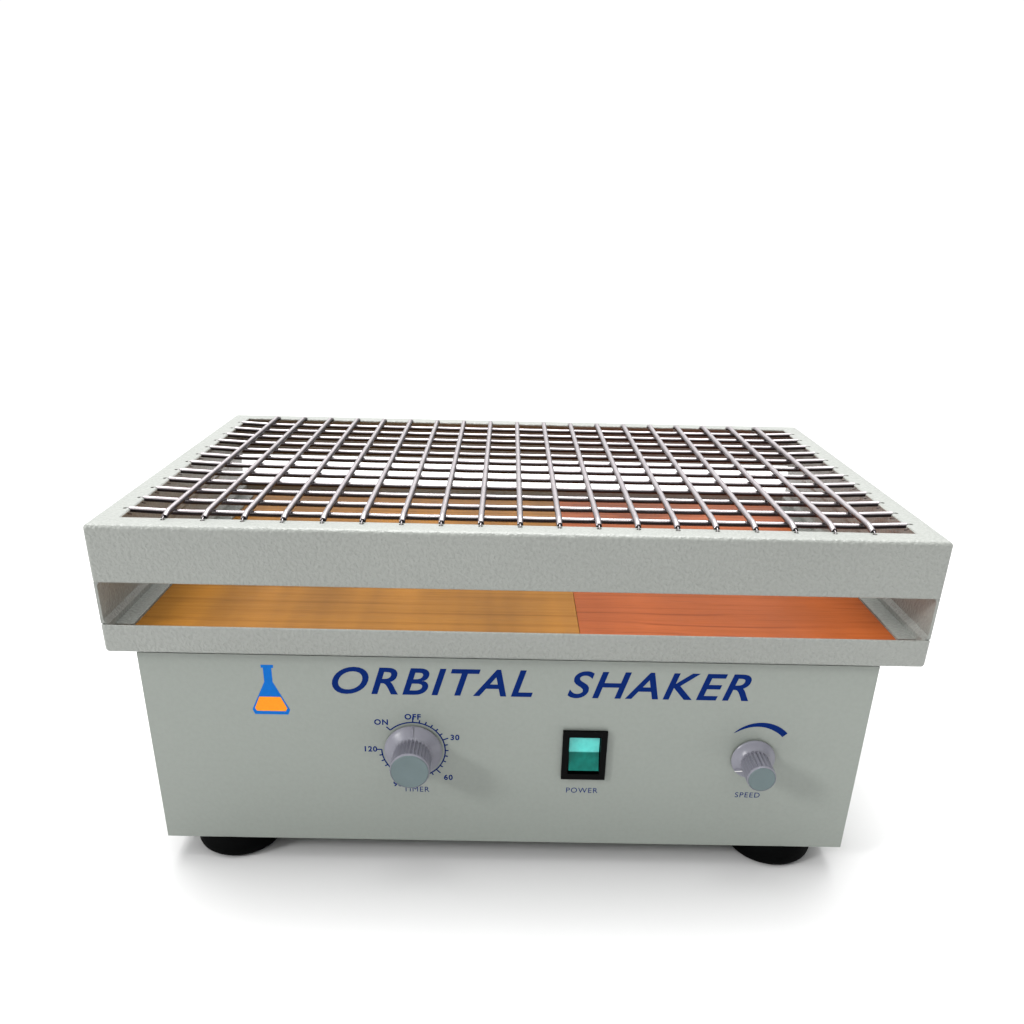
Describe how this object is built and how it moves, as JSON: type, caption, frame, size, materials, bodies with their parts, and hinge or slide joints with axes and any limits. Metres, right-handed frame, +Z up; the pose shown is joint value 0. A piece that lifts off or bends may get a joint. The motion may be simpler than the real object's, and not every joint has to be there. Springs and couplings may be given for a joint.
{
  "type": "orbital shaker",
  "caption": "Bench shaker with a rectangular spring-grid tray over a control cabinet with timer, switch and speed knob.",
  "frame": {"origin": "on the bench, under the middle of the outline: tray sides left and right, knob tips in front and tray rear edge behind", "axes": "+X to the right as seen from the front panel, +Y to the rear, +Z up"},
  "size_m": [0.44, 0.2981, 0.212],
  "materials": {
    "tray_paint": "textured powder coat",
    "cabinet_paint": "smooth semi-matt enamel",
    "spring_steel": "bright close-wound wire",
    "oak_board": "lacquered straight grain",
    "red_board": "lacquered figured grain",
    "foot_rubber": "matt",
    "bright_steel": "turned",
    "zinc_plate": "zinc plated",
    "cast_alloy": "machined",
    "motor_paint": "satin",
    "belt_rubber": "matt",
    "black_plastic": "fine texture",
    "green_plastic": "tinted translucent",
    "grey_plastic": "moulded",
    "cap_plastic": "moulded",
    "circuit_board": "solder mask"
  },
  "bodies": {
    "base": {"base_case": "cabinet_paint", "bottom_plate": "cabinet_paint", "foot_front_left": "foot_rubber", "foot_front_right": "foot_rubber", "foot_rear_left": "foot_rubber", "foot_rear_right": "foot_rubber", "foot_screw_front_left": "bright_steel", "foot_screw_front_right": "bright_steel", "foot_screw_rear_left": "bright_steel", "foot_screw_rear_right": "bright_steel", "mechanism_plate": "zinc_plate", "drive_bearing_housing": "cast_alloy", "drive_bearing_lower": "bright_steel", "drive_bearing_upper": "bright_steel", "drive_belt": "belt_rubber", "idler_bearing_front_left": "cast_alloy", "idler_bearing_front_right": "cast_alloy", "idler_bearing_rear_left": "cast_alloy", "idler_bearing_rear_right": "cast_alloy", "motor_can": "motor_paint", "motor_flange": "zinc_plate", "timer_unit": "grey_plastic", "speed_potentiometer": "cast_alloy", "switch_body": "black_plastic", "mains_inlet": "black_plastic", "fuse_drawer": "black_plastic", "board_bracket": "zinc_plate", "control_board": "circuit_board", "board_heatsink": "cast_alloy", "board_capacitor": "black_plastic"},
    "drive_crank": {"drive_shaft": "bright_steel", "crank_pulley": "cast_alloy", "eccentric_bearing": "bright_steel", "counterweight": "zinc_plate"},
    "motor_rotor": {"motor_shaft": "bright_steel", "motor_pulley": "cast_alloy"},
    "tray": {"grid_frame": "tray_paint", "spring_grid": "spring_steel", "side_plate_left": "tray_paint", "side_plate_right": "tray_paint", "tray_pan": "tray_paint", "board_left": "oak_board", "board_right": "red_board", "drive_stud": "bright_steel", "idler_stud_front_left": "bright_steel", "idler_stud_front_right": "bright_steel", "idler_stud_rear_left": "bright_steel", "idler_stud_rear_right": "bright_steel"},
    "timer_dial": {"timer_shaft": "bright_steel", "timer_knob": "grey_plastic", "timer_knob_cap": "cap_plastic"},
    "speed_dial": {"speed_shaft": "bright_steel", "speed_knob": "grey_plastic", "speed_knob_cap": "cap_plastic"},
    "power_rocker": {"power_rocker": "green_plastic"},
    "idler_front_left": {"idler_crank_front_left": "bright_steel"},
    "idler_front_right": {"idler_crank_front_right": "bright_steel"},
    "idler_rear_left": {"idler_crank_rear_left": "bright_steel"},
    "idler_rear_right": {"idler_crank_rear_right": "bright_steel"}
  },
  "joints": [
    {"name": "drive_spin", "type": "hinge", "parent": "base", "child": "drive_crank", "pos_m": [-0.00375, -0.00177, 0.11], "axis": [0, 0, 1], "continuous": true},
    {"name": "tray_orbit", "type": "hinge", "parent": "drive_crank", "child": "tray", "pos_m": [0, 0.0075, 0.11], "axis": [0, 0, 1], "continuous": true},
    {"name": "motor_spin", "type": "hinge", "parent": "base", "child": "motor_rotor", "pos_m": [-0.10875, -0.00177, 0.11], "axis": [0, 0, 1], "continuous": true},
    {"name": "idler_front_left_spin", "type": "hinge", "parent": "base", "child": "idler_front_left", "pos_m": [-0.16375, -0.05777, 0.11], "axis": [0, 0, 1], "continuous": true},
    {"name": "idler_front_right_spin", "type": "hinge", "parent": "base", "child": "idler_front_right", "pos_m": [0.15625, -0.05777, 0.11], "axis": [0, 0, 1], "continuous": true},
    {"name": "idler_rear_left_spin", "type": "hinge", "parent": "base", "child": "idler_rear_left", "pos_m": [-0.16375, 0.05423, 0.11], "axis": [0, 0, 1], "continuous": true},
    {"name": "idler_rear_right_spin", "type": "hinge", "parent": "base", "child": "idler_rear_right", "pos_m": [0.15625, 0.05423, 0.11], "axis": [0, 0, 1], "continuous": true},
    {"name": "timer_turn", "type": "hinge", "parent": "base", "child": "timer_dial", "pos_m": [-0.05775, -0.12607, 0.0788], "axis": [0, 1, 0], "range_deg": [-45, 270]},
    {"name": "speed_turn", "type": "hinge", "parent": "base", "child": "speed_dial", "pos_m": [0.13725, -0.12607, 0.0775], "axis": [0, 1, 0], "range_deg": [-25, 275]},
    {"name": "rocker_tilt", "type": "hinge", "parent": "base", "child": "power_rocker", "pos_m": [0.04005, -0.12007, 0.0781], "axis": [1, 0, 0], "range_deg": [0, 20]}
  ],
  "couplings": [
    {"joint": "tray_orbit", "follows": "drive_spin", "ratio": -1},
    {"joint": "motor_spin", "follows": "drive_spin", "ratio": 3.6667},
    {"joint": "idler_front_left_spin", "follows": "drive_spin", "ratio": 1},
    {"joint": "idler_front_right_spin", "follows": "drive_spin", "ratio": 1},
    {"joint": "idler_rear_left_spin", "follows": "drive_spin", "ratio": 1},
    {"joint": "idler_rear_right_spin", "follows": "drive_spin", "ratio": 1}
  ]
}
